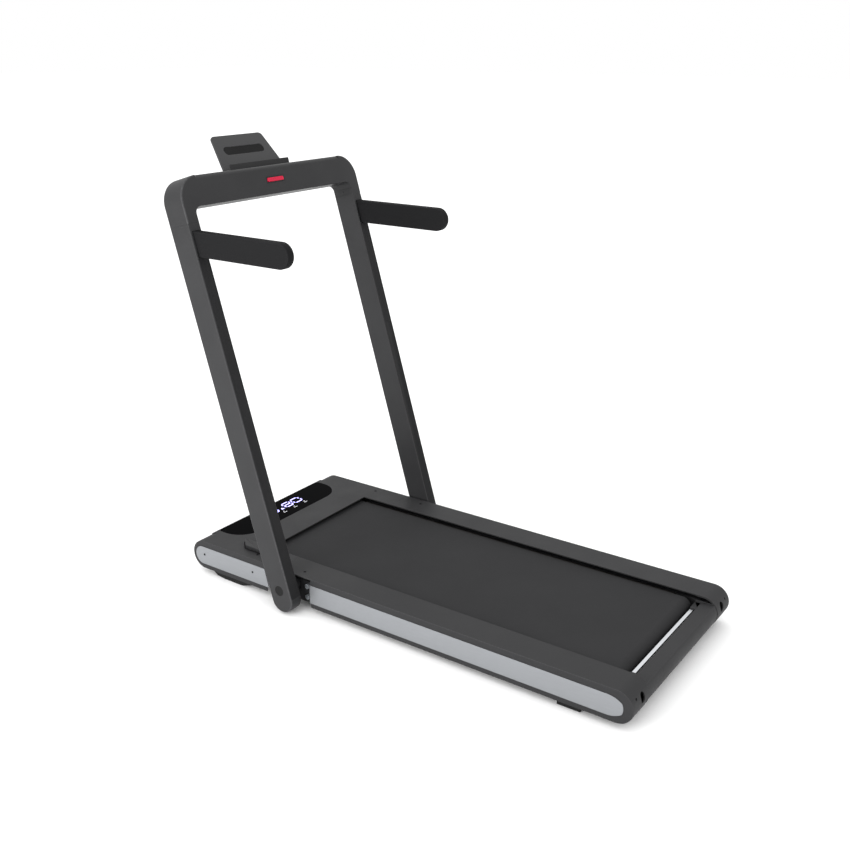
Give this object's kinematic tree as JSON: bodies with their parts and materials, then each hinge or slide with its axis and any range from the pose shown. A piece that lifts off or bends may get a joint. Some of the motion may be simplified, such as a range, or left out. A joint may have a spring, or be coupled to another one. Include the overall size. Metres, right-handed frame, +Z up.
{
  "type": "folding treadmill",
  "caption": "Slim folding walking treadmill with a leaning U-shaped handle frame, fold-out armrests, tablet ledge and side trims.",
  "frame": {"origin": "on the floor under the middle of the bounding box", "axes": "+Y the way the user walks, towards the display; +X to the user's right; +Z up"},
  "size_m": [0.6988, 1.4198, 1.2136],
  "materials": {
    "cover_plastic": "moulded ABS covers, fine spark-eroded grain, charcoal",
    "frame_coat": "extruded aluminium, charcoal powder coat",
    "steel_black": "welded steel box section, black paint",
    "trim_aluminium": "satin anodised aluminium",
    "display_gloss": "gloss black acrylic window",
    "circuit_board": "green glass-epoxy board",
    "black_plastic": "black moulded nylon",
    "plate_plastic": "charcoal moulded ABS",
    "arm_foam": "soft-touch black arm skin",
    "screw_black": "black oxide steel screws",
    "board_wood": "MDF running board with a waxed face",
    "belt_rubber": "matt PVC walking belt with fine diamond texture",
    "rubber_black": "black rubber",
    "motor_coat": "black painted motor shell",
    "zinc_steel": "zinc plated steel",
    "bright_steel": "ground steel",
    "signal_red": "red moulded plastic",
    "button_white": "white moulded plastic"
  },
  "bodies": {
    "deck": {"side_frames": "steel_black", "cross_members": "steel_black", "hood": "cover_plastic", "rail_left": "cover_plastic", "rail_right": "cover_plastic", "rear_cover": "cover_plastic", "guard_bar": "trim_aluminium", "trim_front_left": "trim_aluminium", "trim_front_right": "trim_aluminium", "trim_rear_left": "trim_aluminium", "trim_rear_right": "trim_aluminium", "cover_screws": "screw_black", "display_lens": "display_gloss", "display_board": "circuit_board", "underpan": "black_plastic", "running_board": "board_wood", "walking_belt": "belt_rubber", "deck_cushions": "rubber_black", "motor_case": "motor_coat", "motor_mount": "zinc_steel", "drive_belt": "rubber_black", "control_board": "circuit_board", "heatsink": "trim_aluminium", "power_inlet": "black_plastic", "breaker_body": "black_plastic", "front_axle": "bright_steel", "rear_axle": "bright_steel", "tension_bolts": "zinc_steel", "pivot_bracket_left": "steel_black", "pivot_bracket_right": "steel_black", "pivot_pins": "bright_steel", "pivot_bushes": "black_plastic", "bracket_bolts": "zinc_steel", "pedal_pin": "bright_steel", "front_foot_left": "rubber_black", "front_foot_right": "rubber_black", "wheel_axles": "bright_steel", "rear_feet": "rubber_black"},
    "handle_frame": {"upright_left": "frame_coat", "upright_right": "frame_coat", "crossbar": "frame_coat", "pivot_caps": "black_plastic", "corner_plates": "black_plastic", "arm_pins": "bright_steel", "key_socket": "black_plastic", "holder_tray": "black_plastic"},
    "arm_left": {"armrest_left": "arm_foam"},
    "arm_right": {"armrest_right": "arm_foam"},
    "safety_clip": {"safety_key": "signal_red"},
    "tablet_plate": {"holder_plate": "plate_plastic"},
    "front_drum": {"front_roller": "bright_steel", "front_bearings": "bright_steel"},
    "rear_drum": {"rear_roller": "bright_steel", "rear_bearings": "bright_steel"},
    "rotor": {"motor_rotor": "bright_steel"},
    "left_wheel": {"wheel_left": "rubber_black"},
    "right_wheel": {"wheel_right": "rubber_black"},
    "pedal": {"release_pedal": "black_plastic"},
    "rocker": {"rocker_switch": "signal_red"},
    "reset_button": {"breaker_button": "button_white"}
  },
  "joints": [
    {"name": "frame_fold", "type": "hinge", "parent": "deck", "child": "handle_frame", "pos_m": [0, 0.2985, 0.0683], "axis": [1, 0, 0], "range_deg": [0, 106.37]},
    {"name": "arm_left_fold", "type": "hinge", "parent": "handle_frame", "child": "arm_left", "pos_m": [-0.33035, 0.56379, 0.97676], "axis": [1, 0, 0], "range_deg": [0, 73.6]},
    {"name": "arm_right_fold", "type": "hinge", "parent": "handle_frame", "child": "arm_right", "pos_m": [0.33035, 0.56379, 0.97676], "axis": [1, 0, 0], "range_deg": [0, 73.6]},
    {"name": "key_pull", "type": "slide", "parent": "handle_frame", "child": "safety_clip", "axis": [0, -0.9595, 0.2818], "range_m": [0, 0.03]},
    {"name": "plate_tilt", "type": "hinge", "parent": "handle_frame", "child": "tablet_plate", "pos_m": [0, 0.63583, 1.13153], "axis": [1, 0, 0], "range_deg": [-24, 18]},
    {"name": "front_roller_spin", "type": "hinge", "parent": "deck", "child": "front_drum", "pos_m": [0, 0.48, 0.065], "axis": [1, 0, 0], "continuous": true},
    {"name": "rear_roller_spin", "type": "hinge", "parent": "deck", "child": "rear_drum", "pos_m": [0, -0.615, 0.065], "axis": [1, 0, 0], "continuous": true},
    {"name": "motor_spin", "type": "hinge", "parent": "deck", "child": "rotor", "pos_m": [0, 0.58995, 0.06], "axis": [1, 0, 0], "continuous": true},
    {"name": "left_wheel_spin", "type": "hinge", "parent": "deck", "child": "left_wheel", "pos_m": [-0.2815, 0.57045, 0.022], "axis": [1, 0, 0], "continuous": true},
    {"name": "right_wheel_spin", "type": "hinge", "parent": "deck", "child": "right_wheel", "pos_m": [0.2815, 0.57045, 0.022], "axis": [1, 0, 0], "continuous": true},
    {"name": "pedal_press", "type": "hinge", "parent": "deck", "child": "pedal", "pos_m": [-0.2475, 0.4485, 0.0957], "axis": [-1, 0, 0], "range_deg": [0, 7], "stiffness_Nm_per_rad": 4},
    {"name": "power_switch", "type": "hinge", "parent": "deck", "child": "rocker", "pos_m": [0.142, 0.66645, 0.055], "axis": [-1, 0, 0], "range_deg": [0, 12]},
    {"name": "reset_press", "type": "slide", "parent": "deck", "child": "reset_button", "axis": [0, -1, 0], "range_m": [0, 0.003], "stiffness_N_per_m": 400}
  ],
  "couplings": [
    {"joint": "rear_roller_spin", "follows": "front_roller_spin", "ratio": 1},
    {"joint": "motor_spin", "follows": "front_roller_spin", "ratio": 2.5}
  ]
}
